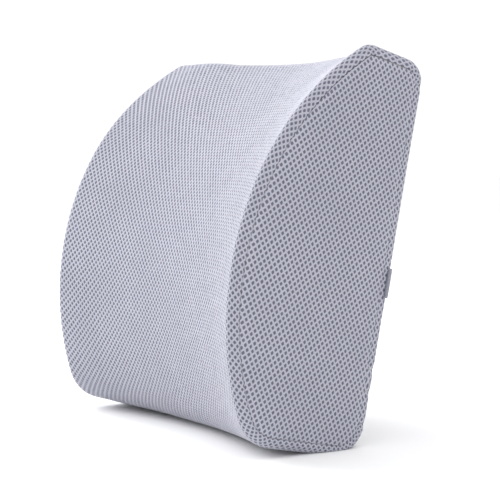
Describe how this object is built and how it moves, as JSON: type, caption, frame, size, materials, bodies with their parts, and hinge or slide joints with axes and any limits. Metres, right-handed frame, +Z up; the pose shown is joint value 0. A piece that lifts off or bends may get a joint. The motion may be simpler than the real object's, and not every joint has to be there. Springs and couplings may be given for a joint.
{
  "type": "lumbar support cushion",
  "caption": "Memory-foam lumbar cushion with a hollowed, D-shaped front, a cooling gel pad, a zipped mesh cover and a buckled chair strap.",
  "frame": {"origin": "middle of the bottom of the bounding box, on the surface that the cushion stands on", "axes": "+X along the width, to the left of a person who leans on it from -Y; -Y is the side that the person leans on and +Y the chair side; +Z up"},
  "size_m": [0.315, 0.1942, 0.3362],
  "materials": {
    "cover_mesh": "3-D knitted spacer mesh, matt, lavender grey",
    "foam_white": "moulded memory foam, matt white",
    "gel_blue": "smooth cooling gel, bright blue",
    "zipper_tape": "woven polyester tape",
    "zipper_coil": "nylon coil",
    "zipper_metal": "die-cast zinc, enamelled grey",
    "strap_elastic": "knitted elastic webbing",
    "buckle_plastic": "moulded acetal, satin"
  },
  "bodies": {
    "cushion": {"foam_core": "foam_white", "gel_pad": "gel_blue", "front_panel": "cover_mesh", "back_upper_panel": "cover_mesh", "back_lower_panel": "cover_mesh", "left_side_panel": "cover_mesh", "right_side_panel": "cover_mesh", "left_zipper_tab": "cover_mesh", "right_zipper_tab": "cover_mesh", "zipper_upper_tape": "zipper_tape", "zipper_lower_tape": "zipper_tape", "zipper_upper_coil": "zipper_coil", "zipper_lower_coil": "zipper_coil", "zipper_left_stop": "zipper_metal", "zipper_right_stop": "zipper_metal", "left_strap": "strap_elastic", "right_strap": "strap_elastic", "buckle_socket": "buckle_plastic"},
    "slider": {"zipper_slider": "zipper_metal"},
    "pull_tab": {"zipper_pull_tab": "zipper_metal"},
    "buckle_plug_end": {"buckle_plug": "buckle_plastic", "right_strap_loop": "strap_elastic", "strap_adjuster": "buckle_plastic"}
  },
  "joints": [
    {"name": "zipper_slide", "type": "slide", "parent": "cushion", "child": "slider", "axis": [-1, 0, 0], "range_m": [0, 0.252]},
    {"name": "pull_tab_swing", "type": "hinge", "parent": "slider", "child": "pull_tab", "pos_m": [0.126, 0.05066, 0.0543], "axis": [0, -0.2007, -0.9796], "range_deg": [0, 180]},
    {"name": "buckle_release", "type": "slide", "parent": "cushion", "child": "buckle_plug_end", "axis": [1, 0, 0], "range_m": [0, 0.026]}
  ]
}
